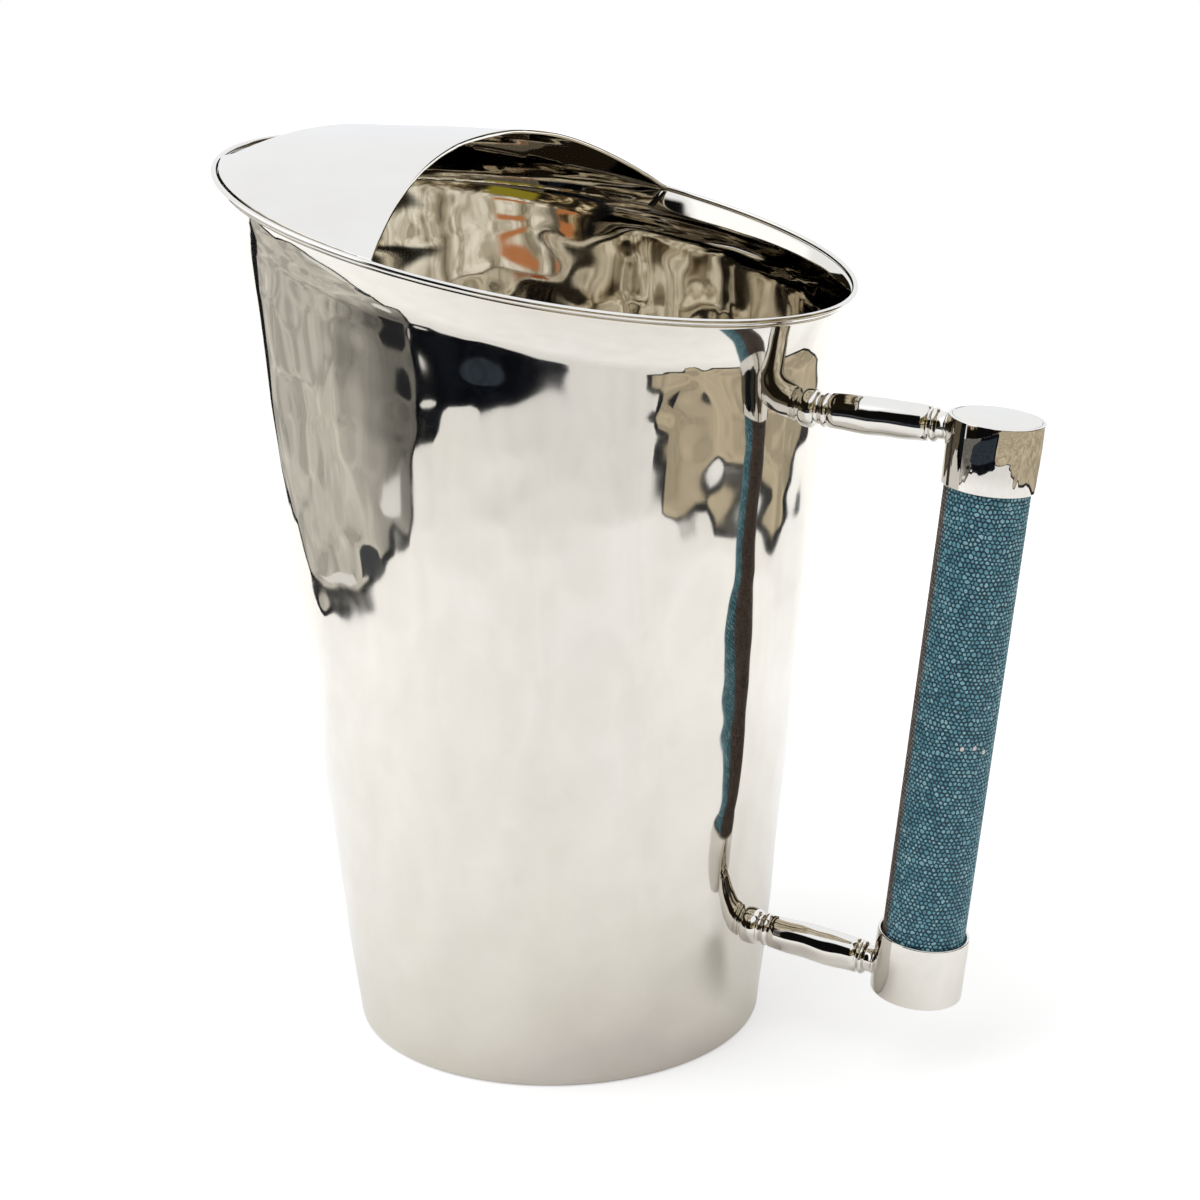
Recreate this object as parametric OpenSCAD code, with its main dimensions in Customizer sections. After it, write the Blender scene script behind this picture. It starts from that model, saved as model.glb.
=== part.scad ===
// Water pitcher of hammered white metal with a sloping flared mouth,
// an ice guard over the spout and a rolled grip held out on two turned arms.
// Origin: centre of the base's underside. +X points to the handle, -X to the spout, +Z up.

/* [Body] */
// Diameter of the base, outside the wall
base_d = 104; // [90:1:125]
// How far the wall leans out from upright, in degrees
wall_lean = 6.05; // [3:0.05:9]
// Thickness of the hammered sheet
wall_t = 1; // [0.8:0.1:1.4]
// Rounding round the foot of the wall
foot_round = 0.9; // [0.4:0.1:1]
// Thickness of the base plate
base_t = 1.5; // [1:0.1:3]

/* [Mouth] */
// Height of the lip where it crosses the pitcher's middle
mouth_h = 202.9; // [185:0.1:220]
// Slope of the mouth, up towards the spout, in degrees
mouth_tilt = 12.6; // [6:0.1:16]
// How far the sides of the mouth dip below a straight cut
mouth_sag = 0.6; // [0:0.1:3]
// Height of the flared band under the lip
flare_h = 12; // [8:0.5:16]
// How far the lip flares out past the wall
flare_out = 3.2; // [2:0.1:5]
// Diameter of the wire bead round the lip
bead_d = 1.6; // [1.5:0.1:3]

/* [Ice guard] */
// Thickness of the guard's sheet
guard_t = 0.9; // [0.7:0.1:1.2]
// Height of the guard's open arch above the lip
arch_h = 22; // [14:0.5:28]
// How much higher the ridge stands at the spout than at the arch
ridge_rise = 0.3; // [0:0.1:4]
// How far the open arch leans towards the spout, in degrees
arch_lean = 27.2; // [0:0.1:40]
// Distance of the arch's feet from the pitcher's middle, towards the spout
arch_set = 2.5; // [0:0.1:15]
// Depth of the pouring slot between the lip and the guard's front edge
pour_gap = 6.7; // [5:0.1:9]
// Length over which the guard's nose rounds up to its ridge
nose_len = 10; // [6:0.5:20]
// Depth of the flange inside the lip, at the arch's feet
flange_h = 5.5; // [3:0.1:8]
// Depth of the flange inside the lip, at its front ends
flange_front_h = 11.5; // [3:0.1:12]
// How far the flange's back end slopes towards the spout, in degrees
flange_cut = 31; // [0:1:45]

/* [Handle] */
// Distance from the wall to the middle of the grip
handle_reach = 44.4; // [40:0.1:60]
// Distance along the wall from the base to the lower end of the handle
handle_low = 25.7; // [18:0.1:35]
// Distance along the wall from the lip down to the handle's upper end
handle_drop = 16.4; // [14:0.1:30]
// How much more the grip leans out than the wall, in degrees
grip_lean = 0.35; // [0:0.05:1]
// Diameter of the covered grip
grip_d = 20; // [17:0.1:24]
// Thickness of the grip's shagreen
shagreen_t = 1.2; // [0.8:0.1:2]
// Height of each ferrule
ferrule_h = 15.8; // [13:0.1:22]
// Thickness of a ferrule's wall
ferrule_t = 0.9; // [0.7:0.1:1.4]
// Free room between the shagreen and a ferrule's wall
ferrule_gap = 0.25; // [0.2:0.05:0.4]
// Thickness of the disc that closes a ferrule
cap_t = 1.2; // [0.8:0.1:2]
// How far the shagreen reaches into each ferrule
shagreen_tuck = 6; // [3:0.5:8]

/* [Arms] */
// Diameter at the middle of an arm's spindle
spindle_d = 9.4; // [8.8:0.1:12]
// Diameter at the ends of an arm's spindle
spindle_end_d = 8.6; // [7.6:0.1:9.2]
// Diameter of the foot where an arm meets the wall
foot_d = 9.2; // [8:0.1:12]
// Diameter of the grooves beside the rings
groove_d = 7.2; // [6:0.1:7.8]
// Diameter of the neck at a ferrule
neck_d = 6.6; // [5.5:0.1:7.4]
// Width of a turned ring
ring_w = 2.3; // [1.5:0.1:3.5]
// Width of a groove
groove_w = 1; // [0.6:0.1:1.5]
// Width of the foot
foot_w = 2.1; // [1:0.1:3]
// Length of the neck at a ferrule
neck_w = 1.8; // [1:0.1:3]
// Distance from the handle's top to the middle of the upper arm, at the ferrule
upper_arm_inset = 4.2; // [3.8:0.1:9]
// Distance from the handle's foot to the middle of the lower arm, at the ferrule
lower_arm_inset = 4.6; // [3.8:0.1:9]
// How far the upper arm rises towards the ferrule, in degrees from square
upper_arm_rise = 3.5; // [-5:0.1:5]
// How far the lower arm rises towards the ferrule, in degrees from square
lower_arm_rise = 0.8; // [-5:0.1:5]

/* [Hidden] */

// Room that solder or glue fills between two seated pieces
joint_gap = 0.1;
// Extra length that a cut runs past the piece it cuts
overrun = 1;
// Small rounding on the edges of the turned pieces
edge_round = 0.3;
// Smoothness of the turned pieces
turn_fn = 96;
// Flat steps round the mouth
around = 96;
// Flat steps up the flared band
flare_steps = 7;
// Flat steps round the foot's rounding
foot_steps = 3;
// Flat steps round the bead
bead_steps = 9;
// Stations from the guard's front edge to its arch
guard_steps = 28;
// Flat steps from the guard's ridge down to each side
arch_steps = 11;
// Flat steps down the guard's flange
flange_steps = 6;
// Flat steps in one curve of an arm
curve_steps = 8;
// Fullness of the guard's arch: 2 is a parabola, more is squarer
arch_power = 2.15;
// Height of the guard's edge on the bead, as a share of the bead's radius
guard_edge_share = 0.9;
// Part of the flange left out where its inside turns up into the plate
flange_turn_share = 0.16;

base_r = base_d/2;
bead_r = bead_d/2;
grip_r = grip_d/2;
ferrule_in_r = grip_r + ferrule_gap;
ferrule_r = ferrule_in_r + ferrule_t;
core_r = grip_r - shagreen_t;
mouth_r = wall_r(mouth_h) + flare_out;
handle_len = mouth_z(mouth_r)/cos(wall_lean) - handle_drop - handle_low;

// Radius of the arc that turns the lip outwards, how far it turns and its length
flare_r = (flare_h*flare_h + flare_out*flare_out)/(2*flare_out);
flare_turn = asin(flare_h/flare_r);
flare_len = flare_r*flare_turn*PI/180;

// Outside radius of the straight wall at a height
function wall_r(z) = base_r + z*tan(wall_lean);

// Height of the lip's outer edge over a place on the X axis
function mouth_z(x) =
    mouth_h - x*tan(mouth_tilt) - mouth_sag*(1 - x*x/(mouth_r*mouth_r));

// Radius of the lip's outer edge in one direction: height and radius depend on
// each other, so they are worked out by turns
function lip_r(a, turns = 5) =
    turns == 0 ? mouth_r : wall_r(mouth_z(lip_r(a, turns - 1)*cos(a))) + flare_out;

// Lean of the flared band from upright, at a share of its turn
function flare_lean(share) = atan(tan(wall_lean) + tan(share*flare_turn));

// Radius and height of a point of the flared band, given its outer edge, a share
// of the band's length and a depth into the sheet from outside. Below the band
// the share is under 0 and the wall is straight.
function flare_at(edge, share, depth) =
    let (turn = max(0, share)*flare_turn,
         z = edge[1] - flare_h + flare_r*sin(turn) + min(0, share)*flare_len,
         r = wall_r(z) + flare_r*(1 - cos(turn)),
         lean = flare_lean(max(0, share)))
    [r - depth*cos(lean), z + depth*sin(lean)];

// Outer edge of the lip in one direction, as radius and height
function lip_edge(a) = let (r = lip_r(a)) [r, mouth_z(r*cos(a))];

// Middle of the bead, which sits on the end of the sheet
bead_half_angle = asin(wall_t/bead_d);
bead_seat = bead_r*cos(bead_half_angle) + joint_gap;
function bead_centre(edge) =
    flare_at(edge, 1, wall_t/2) + bead_seat*[sin(flare_lean(1)), cos(flare_lean(1))];

// A radius and height turned into a place in space
function place(a, p) = [p[0]*cos(a), p[0]*sin(a), p[1]];

// Closed outline of the wall's sheet in one direction, up the outside and down the inside
function wall_section(a) =
    let (edge = lip_edge(a),
         foot_r = base_r - foot_round,
         in_r = base_r - wall_t/cos(wall_lean))
    concat(
        [for (i = [0:foot_steps])
            let (turn = 90*i/foot_steps)
            [foot_r + foot_round*sin(turn), foot_round*(1 - cos(turn))]],
        [for (i = [0:flare_steps]) flare_at(edge, i/flare_steps, 0)],
        [for (i = [flare_steps:-1:0]) flare_at(edge, i/flare_steps, wall_t)],
        [[in_r, 0]]);

// Closed outline of the bead in one direction, flat where it meets the sheet
function bead_section(a) =
    let (edge = lip_edge(a), c = bead_centre(edge), lean = flare_lean(1),
         half_turn = 180 - bead_half_angle)
    [for (i = [0:bead_steps])
        let (turn = half_turn*(1 - 2*i/bead_steps))
        c + bead_r*[sin(lean + turn), cos(lean + turn)]];

// Skins rows of matching outlines: a ring closes on itself, otherwise both ends get
// a cap made by joining opposite points of the thin outline
module skin(rows, ring) {
    count = len(rows);
    size = len(rows[0]);
    function at(row, i) = (row % count)*size + i % size;
    sides = [for (row = [0:count - (ring ? 1 : 2)], i = [0:size - 1], half = [0, 1])
        half == 0
            ? [at(row, i), at(row, i + 1), at(row + 1, i + 1)]
            : [at(row, i), at(row + 1, i + 1), at(row + 1, i)]];
    caps = ring ? [] : [for (i = [0:size/2 - 2], half = [0, 1], end = [0, 1])
        let (row = end*(count - 1), near = i, far = size - 1 - i,
             face = half == 0 ? [near, far, near + 1] : [near + 1, far, far - 1])
        end == 0
            ? [at(row, face[0]), at(row, face[1]), at(row, face[2])]
            : [at(row, face[2]), at(row, face[1]), at(row, face[0])]];
    polyhedron([for (outline = rows) each outline], concat(sides, caps));
}

// Ice guard. Its directions run from the spout's middle (0) to the sides (90).
guard_clear = bead_r + joint_gap*3;

// Outer corner of the guard's plate beside the bead, as radius and height
function guard_corner(b) =
    bead_centre(lip_edge(180 - b)) + [-guard_clear, guard_edge_share*bead_r];

guard_nose_r = guard_corner(0)[0];
guard_front = acos(1 - pour_gap/guard_nose_r);
guard_front_x = -guard_nose_r + pour_gap;
guard_back = acos(arch_set/guard_corner(90)[0]);

// Share of the way from the guard's front ends back to the arch's feet
function guard_share(b) = (b - guard_front)/(guard_back - guard_front);

// Share of the ridge's height at a place: the nose rounds up from the front edge
function nose(x) =
    let (u = min(1, (x - guard_front_x)/nose_len)) sqrt(max(0, 1 - (1 - u)*(1 - u)));

// Point on the plate's top at one station and a share t of the way across
function plate_at(b, t) =
    let (corner = guard_corner(b),
         x = -corner[0]*cos(b),
         ridge = mouth_h + arch_h - ridge_rise*x/mouth_r,
         rise = (ridge - corner[1])*nose(x)*(1 - pow(abs(t), arch_power)),
         lean = tan(arch_lean)*(x - guard_front_x)/(-arch_set - guard_front_x))
    [x - lean*rise, t*corner[0]*sin(b), corner[1] + rise];

// Shares across the plate, closer together towards its sides
function across(i) = sin(90*i/arch_steps);

// Point under the plate, one sheet's thickness in along its slope across the pitcher
function plate_under(b, t) =
    let (step = 1/(8*arch_steps),
         a = plate_at(b, max(-1, t - step)),
         c = plate_at(b, min(1, t + step)),
         slope = atan2(c[2] - a[2], c[1] - a[1]))
    plate_at(b, t) + guard_t*[0, sin(slope), -cos(slope)];

// Point of the flange at one station and side, a share of the way up from its lower edge
function flange_at(b, side, share, depth) =
    let (back = guard_share(b),
         drop = (1 - share)*(flange_front_h + (flange_h - flange_front_h)*back),
         at = b - back*drop*tan(flange_cut)/mouth_r*180/PI,
         p = flare_at(lip_edge(180 - at), 1 - drop/flare_len, depth))
    [-p[0]*cos(at), side*p[0]*sin(at), p[1]];

// Closed outline of the guard's sheet at one station
function guard_section(b) =
    let (out = wall_t + joint_gap,
         in = out + guard_t,
         corner = guard_corner(b),
         turn_at = 1 - flange_turn_share,
         outer = [for (i = [0:flange_steps]) i/flange_steps],
         inner = [for (i = [0:flange_steps]) turn_at*i/flange_steps],
         left_turn = (flange_at(b, -1, turn_at, in) + plate_under(b, -across(arch_steps - 2)))/2,
         right_turn = (flange_at(b, 1, turn_at, in) + plate_under(b, across(arch_steps - 2)))/2)
    concat(
        [for (s = outer) flange_at(b, -1, s, out)],
        [for (i = [-arch_steps:arch_steps]) plate_at(b, across(i))],
        [for (i = [flange_steps:-1:0]) flange_at(b, 1, outer[i], out)],
        [for (s = inner) flange_at(b, 1, s, in)],
        [for (k = [1, 2]) (k*right_turn + (2 - k)*flange_at(b, 1, turn_at, in))/2],
        [for (i = [arch_steps - 2:-1:-arch_steps + 2]) plate_under(b, across(i))],
        [for (k = [2, 1]) (k*left_turn + (2 - k)*flange_at(b, -1, turn_at, in))/2],
        [for (i = [flange_steps:-1:0]) flange_at(b, -1, inner[i], in)]);

// Frame of the grip: Z is the grip's axis, from the lower end of the handle. It is
// set out along the wall and leans out a little more about the middle of the grip.
module grip_frame() {
    translate([base_r, 0, 0])
        rotate([0, wall_lean, 0])
        translate([handle_reach, 0, handle_low + handle_len/2])
        rotate([0, grip_lean, 0])
        translate([0, 0, -handle_len/2])
        children();
}

// Points of a rounded bulge on a turned outline, from s to s + w along it
function bulge(s, w, r, peak) =
    [for (i = [0:curve_steps]) let (u = i/curve_steps)
        [r + (peak - r)*sin(180*u), s + w*u]];

// Outline of an arm, as radius and distance from the wall
function arm_outline(length) =
    let (groove_r = groove_d/2,
         ring_r = spindle_end_d/2,
         neck_r = neck_d/2,
         ring_s = foot_w + groove_w,
         spindle_s = ring_s + ring_w,
         far_ring_s = length - neck_w - ring_w)
    concat(
        [[0, -overrun], [foot_d/2, -overrun]],
        [for (i = [0:curve_steps]) let (turn = 90*i/curve_steps)
            [groove_r + (foot_d/2 - groove_r)*cos(turn), foot_w*sin(turn)]],
        bulge(ring_s, ring_w, groove_r, ring_r),
        bulge(spindle_s + joint_gap, far_ring_s - spindle_s - 2*joint_gap,
              ring_r, spindle_d/2),
        bulge(far_ring_s, ring_w, neck_r, ring_r),
        [for (i = [1:curve_steps]) let (turn = 90*i/curve_steps)
            [neck_r + edge_round*(1 - cos(turn)), length - neck_w + neck_w*sin(turn)]],
        [[neck_r + edge_round, length + 2*overrun], [0, length + 2*overrun]]);

// Arm from the wall to a ferrule: height is along the grip, at the ferrule
module arm(height, rise) {
    reach = handle_reach - ferrule_r + (height - handle_len/2)*sin(grip_lean);
    length = reach/cos(rise - grip_lean);
    difference() {
        grip_frame()
            translate([-ferrule_r, 0, height])
            rotate([0, 90 - rise, 0])
            translate([0, 0, -length])
            rotate_extrude($fn = turn_fn) polygon(arm_outline(length));
        cylinder(h = mouth_h, r1 = base_r + joint_gap, r2 = wall_r(mouth_h) + joint_gap,
                 $fn = turn_fn);
        grip_frame() translate([0, 0, -overrun])
            cylinder(h = handle_len + 2*overrun, r = ferrule_r + joint_gap, $fn = turn_fn);
    }
}

// Ferrule standing with its closed end down and its rim up
module ferrule() {
    rotate_extrude($fn = turn_fn) polygon([
        [ferrule_in_r, 0],
        [ferrule_r - edge_round, 0],
        [ferrule_r, edge_round],
        [ferrule_r, ferrule_h - edge_round],
        [ferrule_r - edge_round, ferrule_h],
        [ferrule_in_r + edge_round, ferrule_h],
        [ferrule_in_r, ferrule_h - edge_round]]);
}

// Disc let into a ferrule's closed end, flush with it
module cap() {
    cylinder(h = cap_t, r = ferrule_in_r - joint_gap, $fn = turn_fn);
}

// Moves children from the lower end of the handle to the upper end, turned over
module at_top() {
    translate([0, 0, handle_len]) rotate([180, 0, 0]) children();
}

module body_wall() {
    color("#d9d7d0")
        skin([for (i = [0:around - 1]) let (a = 360*i/around)
            [for (p = wall_section(a)) place(a, p)]], true);
}

module base_plate() {
    r = base_r - wall_t/cos(wall_lean) - joint_gap;
    color("#cfcdc6")
        rotate_extrude($fn = turn_fn) polygon([
            [0, 0], [r, 0], [r + base_t*tan(wall_lean), base_t], [0, base_t]]);
}

module rim_wire() {
    color("#e8e6df")
        skin([for (i = [0:around - 1]) let (a = 360*i/around)
            [for (p = bead_section(a)) place(a, p)]], true);
}

module ice_guard() {
    color("#eeede8")
        skin([for (i = [0:guard_steps])
            guard_section(guard_front + (guard_back - guard_front)*i/guard_steps)], false);
}

module upper_arm() {
    color("#d5d2c8") arm(handle_len - upper_arm_inset, upper_arm_rise);
}

module lower_arm() {
    color("#d5d2c8") arm(lower_arm_inset, lower_arm_rise);
}

module upper_ferrule() {
    color("#dddad2") grip_frame() at_top() ferrule();
}

module upper_cap() {
    color("#eceae4") grip_frame() at_top() cap();
}

module lower_ferrule() {
    color("#dddad2") grip_frame() ferrule();
}

module lower_cap() {
    color("#eceae4") grip_frame() cap();
}

// Dowel that fills both ferrules and is turned down between them for the shagreen
module grip_core() {
    plug_r = ferrule_in_r - joint_gap;
    start = cap_t + joint_gap;
    shoulder = ferrule_h - shagreen_tuck;
    color("#a9794a")
        grip_frame() rotate_extrude($fn = turn_fn) polygon([
            [0, start], [plug_r, start],
            [plug_r, shoulder], [core_r, shoulder],
            [core_r, handle_len - shoulder], [plug_r, handle_len - shoulder],
            [plug_r, handle_len - start], [0, handle_len - start]]);
}

// Shagreen wrapped round the dowel, tucked into both ferrules
module shagreen_sleeve() {
    start = ferrule_h - shagreen_tuck + joint_gap;
    in_r = core_r + joint_gap;
    color("#2f6f8c")
        grip_frame() translate([0, 0, start]) difference() {
            cylinder(h = handle_len - 2*start, r = grip_r, $fn = turn_fn);
            translate([0, 0, -overrun])
                cylinder(h = handle_len - 2*start + 2*overrun, r = in_r, $fn = turn_fn);
        }
}

body_wall();
base_plate();
rim_wire();
ice_guard();
upper_arm();
lower_arm();
upper_ferrule();
upper_cap();
lower_ferrule();
lower_cap();
grip_core();
shagreen_sleeve();
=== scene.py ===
# %% [markdown]
# # A hammered water pitcher
# The pitcher is made by hand from sheet, wire and turned rod: a tapered wall with a
# sloping flared mouth, a domed guard that holds back the ice, and a rolled shagreen
# grip held out on two arms. The construction model gives every piece its place, so
# the script begins by loading it.

# %% Load the frame
import math
import random

import bmesh
import bpy
from mathutils import Matrix, Vector, noise


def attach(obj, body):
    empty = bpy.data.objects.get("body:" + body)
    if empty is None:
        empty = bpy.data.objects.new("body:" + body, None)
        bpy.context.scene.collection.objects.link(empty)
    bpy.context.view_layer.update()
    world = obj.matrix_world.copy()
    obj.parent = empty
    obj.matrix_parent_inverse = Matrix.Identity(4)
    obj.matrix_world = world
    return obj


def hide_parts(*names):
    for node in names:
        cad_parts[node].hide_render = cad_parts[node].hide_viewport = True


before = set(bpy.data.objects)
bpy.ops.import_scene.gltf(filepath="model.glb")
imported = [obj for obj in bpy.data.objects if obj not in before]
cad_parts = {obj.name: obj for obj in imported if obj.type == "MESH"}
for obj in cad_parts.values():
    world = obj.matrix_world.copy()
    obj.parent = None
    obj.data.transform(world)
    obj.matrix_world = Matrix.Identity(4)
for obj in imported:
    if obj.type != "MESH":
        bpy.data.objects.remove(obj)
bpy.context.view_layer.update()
BODY = "root"
MM = 0.001

# %% [markdown]
# ## The camera
# A camera can be matched to a photograph by eye or by fitting. This one was fitted:
# points along the outline of the base, the lip and the handle were set against the
# same points of the model, which gives the direction, the distance and the lens.

# %% Camera
AZIMUTH = math.radians(26.583)
ELEVATION = math.radians(16.0)
ROLL = math.radians(-0.833)
DISTANCE = 607.114
LENS = 72.124
AIM_SIDE = 12.118
AIM_HEIGHT = 108.748

back = Vector((math.sin(AZIMUTH) * math.cos(ELEVATION),
               -math.cos(AZIMUTH) * math.cos(ELEVATION), math.sin(ELEVATION)))
level = Vector((math.cos(AZIMUTH), math.sin(AZIMUTH), 0))
upward = level.cross(-back)
right = level * math.cos(ROLL) + upward * math.sin(ROLL)
top = -level * math.sin(ROLL) + upward * math.cos(ROLL)
eye = right * AIM_SIDE + Vector((0, 0, AIM_HEIGHT)) + back * DISTANCE

camera_data = bpy.data.cameras.new("camera")
camera_data.sensor_width = 36
camera_data.lens = LENS
camera = bpy.data.objects.new("camera", camera_data)
bpy.context.scene.collection.objects.link(camera)
camera.matrix_world = Matrix.Translation(eye * MM) @ Matrix((right, top, back)).transposed().to_4x4()
bpy.context.scene.camera = camera
print("camera at", [round(c, 1) for c in eye], "mm")

# %% [markdown]
# ## From a bmesh to a piece
# Every piece is modelled in millimetres, because that is how a silversmith would
# measure it. One helper turns the finished bmesh into an object in metres, with
# smooth shading, its material and its place on the body that carries it.

# %% Helper for finished pieces
def finish_piece(bm, name, material, nodes):
    bmesh.ops.scale(bm, vec=(MM, MM, MM), verts=bm.verts)
    mesh = bpy.data.meshes.new(name)
    bm.to_mesh(mesh)
    bm.free()
    mesh.shade_smooth()
    mesh.materials.append(material)
    piece = bpy.data.objects.new(name, mesh)
    bpy.context.scene.collection.objects.link(piece)
    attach(piece, BODY)
    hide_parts(*nodes)
    print(f"{name}: {len(mesh.vertices)} vertices, {len(mesh.polygons)} faces")
    return piece


# %% [markdown]
# ## Polished white metal
# The metal is a warm, slightly yellow white, like nickel silver. A mirror like this
# has almost no colour of its own, so what counts is a very low roughness that is not
# quite even: fingers and cloths leave a faint haze, and polishing leaves fine hair
# lines. A Principled shader that is fully metallic gets both from noise textures.

# %% Metal material
def add_node(tree, kind, inputs=None, **settings):
    node = tree.nodes.new(kind)
    for key, value in settings.items():
        setattr(node, key, value)
    for key, value in (inputs or {}).items():
        if isinstance(value, bpy.types.NodeSocket):
            tree.links.new(value, node.inputs[key])
        else:
            node.inputs[key].default_value = value
    return node


def new_material(name):
    material = bpy.data.materials.new(name)
    material.use_nodes = True
    tree = material.node_tree
    return material, tree, tree.nodes["Principled BSDF"]


def ramp(tree, factor, stops):
    node = add_node(tree, "ShaderNodeValToRGB", {"Fac": factor})
    elements = node.color_ramp.elements
    while len(elements) < len(stops):
        elements.new(1)
    for element, (position, colour) in zip(elements, stops):
        element.position = position
        element.color = (*colour, 1) if len(colour) == 3 else colour
    return node.outputs["Color"]


def grey(value):
    return (value, value, value)


def metal(name, dark, bright, smooth, hazy, hair):
    material, tree, shader = new_material(name)
    place = add_node(tree, "ShaderNodeTexCoord").outputs["Object"]
    haze = add_node(tree, "ShaderNodeTexNoise",
                    {"Vector": place, "Scale": 55, "Detail": 4, "Roughness": 0.6})
    stretch = add_node(tree, "ShaderNodeMapping",
                       {"Vector": place, "Rotation": (0.3, 0.5, 0.2), "Scale": (900, 900, 60)})
    lines = add_node(tree, "ShaderNodeTexNoise",
                     {"Vector": stretch.outputs["Vector"], "Scale": 1, "Detail": 3})
    tree.links.new(ramp(tree, haze.outputs["Fac"], [(0.3, dark), (0.7, bright)]),
                   shader.inputs["Base Color"])
    tree.links.new(ramp(tree, haze.outputs["Fac"], [(0.35, grey(smooth)), (0.75, grey(hazy))]),
                   shader.inputs["Roughness"])
    bump = add_node(tree, "ShaderNodeBump",
                    {"Strength": hair, "Distance": 0.00001, "Height": lines.outputs["Fac"]})
    tree.links.new(bump.outputs["Normal"], shader.inputs["Normal"])
    shader.inputs["Metallic"].default_value = 1
    return material


hammered_metal = metal("hammered_nickel_silver", (0.80, 0.765, 0.70), (0.84, 0.81, 0.76), 0.03, 0.075, 0.15)
polished_metal = metal("polished_nickel_silver", (0.82, 0.79, 0.74), (0.85, 0.825, 0.785), 0.015, 0.05, 0.12)
print("metals:", hammered_metal.name, polished_metal.name)

# %% [markdown]
# ## The sloping lip
# The mouth is cut on a slope through a cone that flares near its edge, so the lip's
# height depends on its radius and its radius on its height. Working both out by
# turns, five times, settles them. The same few functions place the wall, the bead
# and the guard, and that is what makes the three fit.

# %% Shape of the wall and lip, in millimetres
BASE_R = 52
LEAN = math.tan(math.radians(6.05))
WALL_T = 1
FOOT_ROUND = 0.9
MOUTH_H = 202.9
MOUTH_SLOPE = math.tan(math.radians(12.6))
MOUTH_SAG = 0.6
FLARE_H = 12
FLARE_OUT = 3.2
FLARE_R = (FLARE_H ** 2 + FLARE_OUT ** 2) / (2 * FLARE_OUT)
FLARE_TURN = math.asin(FLARE_H / FLARE_R)
FLARE_LEN = FLARE_R * FLARE_TURN


def wall_r(z):
    return BASE_R + z * LEAN


MOUTH_R = wall_r(MOUTH_H) + FLARE_OUT


def mouth_z(x):
    return MOUTH_H - x * MOUTH_SLOPE - MOUTH_SAG * (1 - (x / MOUTH_R) ** 2)


def lip_edge(a):
    r = MOUTH_R
    for _ in range(5):
        r = wall_r(mouth_z(r * math.cos(a))) + FLARE_OUT
    return r, mouth_z(r * math.cos(a))


def flare_lean(share):
    return math.atan(LEAN + math.tan(share * FLARE_TURN))


def flare_at(edge, share, depth):
    turn = max(0, share) * FLARE_TURN
    z = edge[1] - FLARE_H + FLARE_R * math.sin(turn) + min(0, share) * FLARE_LEN
    r = wall_r(z) + FLARE_R * (1 - math.cos(turn))
    lean = flare_lean(max(0, share))
    return r - depth * math.cos(lean), z + depth * math.sin(lean)


print("lip from", [round(c, 2) for c in lip_edge(0)], "to", [round(c, 2) for c in lip_edge(math.pi)])

# %% [markdown]
# ## Hammer blows
# A planishing hammer leaves rows of shallow overlapping facets. Each blow is a very
# flat bowl, and the surface is the lowest bowl at each place, with the ridges between
# them softened by polishing. The bowls are only some hundredths of a millimetre deep,
# but a mirror turns even that into wavy reflections, so they are real geometry.

# %% Hammer blows
BLOW_ROWS = 24
BLOWS_AROUND = 40
ROW_PITCH = 9.4
blow_random = random.Random(7)
blows = {}
for row in range(-1, BLOW_ROWS + 2):
    for column in range(BLOWS_AROUND):
        blows[row, column] = (column + 0.5 * (row % 2) + blow_random.uniform(-0.42, 0.42),
                              row + blow_random.uniform(-0.42, 0.42),
                              blow_random.uniform(0.7, 1.5))
RIDGE_SOFT = 0.2


def blow_height(a, z):
    """Height of the hammered surface over its lowest facets, from about 0 to 1"""
    across = a / (2 * math.pi) * BLOWS_AROUND
    along = z / ROW_PITCH
    total = 0
    for row in range(int(along) - 1, int(along) + 3):
        for column in range(int(across) - 2, int(across) + 3):
            if row < -1 or row > BLOW_ROWS + 1:
                continue
            u, v, reach = blows[row, column % BLOWS_AROUND]
            gap = (across - u + BLOWS_AROUND / 2) % BLOWS_AROUND - BLOWS_AROUND / 2
            bowl = (gap * gap + (along - v) ** 2) / reach
            total += math.exp(-bowl / RIDGE_SOFT)
    return -RIDGE_SOFT * math.log(total + 1e-12)


def fade(value, start, end):
    t = min(1, max(0, (value - start) / (end - start)))
    return t * t * (3 - 2 * t)


def wave(x, y, z, around, up, seed):
    return noise.noise(Vector((x / around + seed * 7.31, y / around + seed * 3.17, z / up)))


def wave_height(a, z):
    """Slow waves of the formed sheet, in millimetres, stronger beside the handle"""
    x, y = wall_r(z) * math.cos(a), wall_r(z) * math.sin(a)
    free = 0.45 * noise.noise(Vector((x / 19, y / 19, z / 34 + 5)))
    held = 1.1 * wave(x, y, z, 22, 90, 24) + 0.28 * wave(x, y, z, 15, 20, 25)
    return free + (held - free) * fade(math.cos(a + 0.42), 0.75, 0.92)


sample = [blow_height(a * 0.13, z * 3.7) for a in range(40) for z in range(40)]
BLOW_MEAN = sum(sample) / len(sample)
print("facets from", round(min(sample), 3), "to", round(max(sample), 3), "mean", round(BLOW_MEAN, 3))

# %% [markdown]
# ## The wall
# The wall is spun: a closed outline, up the outside and down the inside, is turned
# through a full circle. The outline's points are only numbered at first, and each
# turned point is then moved to its own place, because the lip slopes and the section
# is different in every direction. Dents fade out at the foot and at the flare.

# %% Wall
WALL_STEPS = 300
FOOT_STATIONS = 6
FLARE_STATIONS = 16
OUT_STATIONS = 168
IN_STATIONS = 96
DENT_OUT = 0.2
DENT_IN = 0.5
FLARE_DENT = 0.12


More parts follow.
